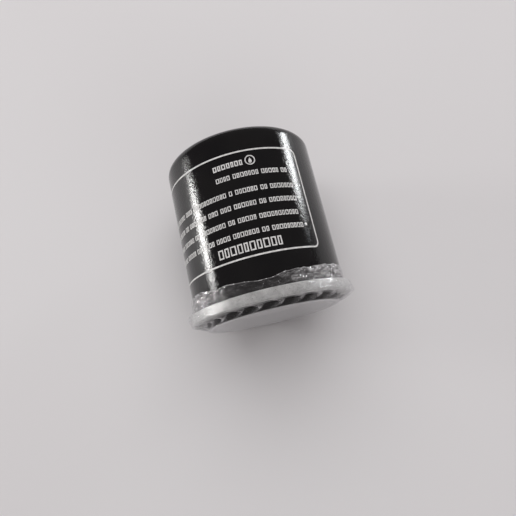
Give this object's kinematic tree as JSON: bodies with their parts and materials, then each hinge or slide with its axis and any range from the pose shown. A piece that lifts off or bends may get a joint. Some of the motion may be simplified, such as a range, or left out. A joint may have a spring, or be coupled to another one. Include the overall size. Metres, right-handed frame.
{
  "type": "spin-on oil filter",
  "caption": "Small spin-on oil filter lying on its side: black can, rolled seam, threaded plate and gasket under clear transit film, with a full element inside.",
  "frame": {"origin": "centre of the gasket's sealing face, on the filter's axis", "axes": "the filter lies on its side: its threaded end faces -Y, its closed end +Y, and the label side is +Z"},
  "size_m": [0.0556, 0.0598, 0.0556],
  "materials": {
    "black_paint": "gloss black stoved enamel",
    "print_white": "white screen print, empty boxes and a drop badge only, no lettering",
    "galvanised": "bare galvanised sheet",
    "sealant": "seam lining compound",
    "bare_steel": "oiled bare steel",
    "gasket_rubber": "black nitrile rubber",
    "valve_rubber": "matt black nitrile rubber",
    "tinplate": "tinned sheet",
    "adhesive": "cured plastisol adhesive",
    "filter_paper": "resin-cured filter paper",
    "spring_steel": "drawn spring wire",
    "clear_film": "clear shrink film"
  },
  "bodies": {
    "filter": {"can_shell": "black_paint", "seaming_lid": "galvanised", "seam_sealant": "sealant", "tapping_plate": "bare_steel", "sealing_gasket": "gasket_rubber", "lower_end_cap": "tinplate", "lower_potting": "adhesive", "pleated_media": "filter_paper", "media_clip": "tinplate", "centre_tube": "tinplate", "upper_potting": "adhesive", "upper_end_cap": "tinplate", "bypass_spring": "spring_steel", "bypass_cage": "tinplate", "element_spring": "spring_steel"},
    "film_cap": {"film_sleeve": "clear_film", "film_disc": "clear_film"},
    "bypass_valve": {"bypass_poppet": "bare_steel", "bypass_seal": "valve_rubber"},
    "drain_valve": {"drainback_valve": "valve_rubber"}
  },
  "joints": [
    {"name": "film_off", "type": "slide", "parent": "filter", "child": "film_cap", "axis": [0, -1, 0], "range_m": [0, 0.04]},
    {"name": "bypass_lift", "type": "slide", "parent": "filter", "child": "bypass_valve", "axis": [0, -1, 0], "range_m": [0, 0.002], "stiffness_N_per_m": 1500, "springref_m": -0.0044, "deforming": ["bypass_spring"]},
    {"name": "drain_lip", "type": "slide", "parent": "filter", "child": "drain_valve", "axis": [0, 1, 0], "range_m": [0, 0.0012], "stiffness_N_per_m": 300, "springref_m": -0.0005, "deforming": ["drainback_valve"]}
  ]
}
